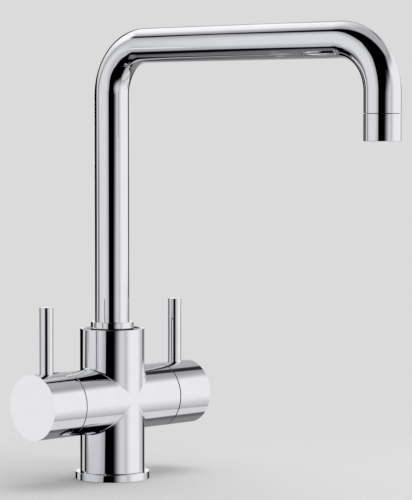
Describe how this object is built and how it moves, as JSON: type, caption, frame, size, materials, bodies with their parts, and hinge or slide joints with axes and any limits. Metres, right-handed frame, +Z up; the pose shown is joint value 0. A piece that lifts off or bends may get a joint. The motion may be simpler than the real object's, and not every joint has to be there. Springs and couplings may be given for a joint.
{
  "type": "kitchen tap",
  "caption": "Deck-mounted tap with a swivelling square-cornered spout, one lever for filtered water and one that mixes hot and cold, with separate waterways.",
  "frame": {"origin": "on the trunk's vertical axis, at the deck surface that the base ring sits on", "axes": "+Z up along the trunk, -Y the way the spout reaches, +X from the filtered water handle towards the hot and cold handle"},
  "size_m": [0.161, 0.3005, 0.334],
  "materials": {
    "chrome": "mirror-polished chrome plate on brass",
    "brass": "machined brass",
    "rubber": "moulded black rubber",
    "slip_plastic": "low-friction white plastic",
    "glide_plastic": "low-friction black plastic",
    "valve_plastic": "moulded grey plastic",
    "aerator_plastic": "moulded light grey plastic",
    "ceramic": "lapped alumina",
    "steel": "plain stainless steel",
    "tube_plastic": "translucent white drinking-water tube"
  },
  "bodies": {
    "tap": {"base_ring": "chrome", "base_seal": "rubber", "tap_body": "chrome", "spout_collar": "chrome", "lower_slip_ring": "slip_plastic", "filter_glide_ring": "glide_plastic", "mixer_glide_ring": "glide_plastic", "filter_seat_seal": "rubber", "filter_fixed_disc": "ceramic", "filter_valve_housing": "brass", "mixer_port_seals": "rubber", "mixer_valve_base": "valve_plastic", "mixer_fixed_disc": "ceramic", "mixer_valve_housing": "valve_plastic", "mixer_ring_nut": "brass"},
    "spout": {"spout_tube": "chrome", "spout_foot": "brass", "foot_o_ring_lower": "rubber", "foot_o_ring_upper": "rubber", "nose_o_ring": "rubber", "upper_slip_ring": "slip_plastic", "filter_tube": "tube_plastic", "nozzle_insert": "brass", "nozzle_sleeve": "chrome", "aerator_screen": "steel", "aerator_housing": "aerator_plastic", "aerator_washer": "rubber", "filter_outlet_tip": "aerator_plastic"},
    "filter_handle": {"filter_handle_cap": "chrome", "filter_lever": "chrome", "filter_grub_screw": "steel", "filter_spindle": "brass", "filter_moving_disc": "ceramic", "filter_spindle_o_ring": "rubber"},
    "mixer_handle": {"mixer_handle_cap": "chrome", "mixer_lever": "chrome", "mixer_grub_screw": "steel", "mixer_spindle": "brass", "mixer_moving_disc": "ceramic", "mixer_spindle_o_ring": "rubber"}
  },
  "joints": [
    {"name": "spout_swivel", "type": "hinge", "parent": "tap", "child": "spout", "pos_m": [0, 0, 0.0975], "axis": [0, 0, 1], "continuous": true},
    {"name": "filter_lever_turn", "type": "hinge", "parent": "tap", "child": "filter_handle", "pos_m": [-0.0645, 0, 0.059], "axis": [1, 0, 0], "range_deg": [0, 90]},
    {"name": "mixer_lever_turn", "type": "hinge", "parent": "tap", "child": "mixer_handle", "pos_m": [0.0645, 0, 0.059], "axis": [1, 0, 0], "range_deg": [0, 105]}
  ]
}
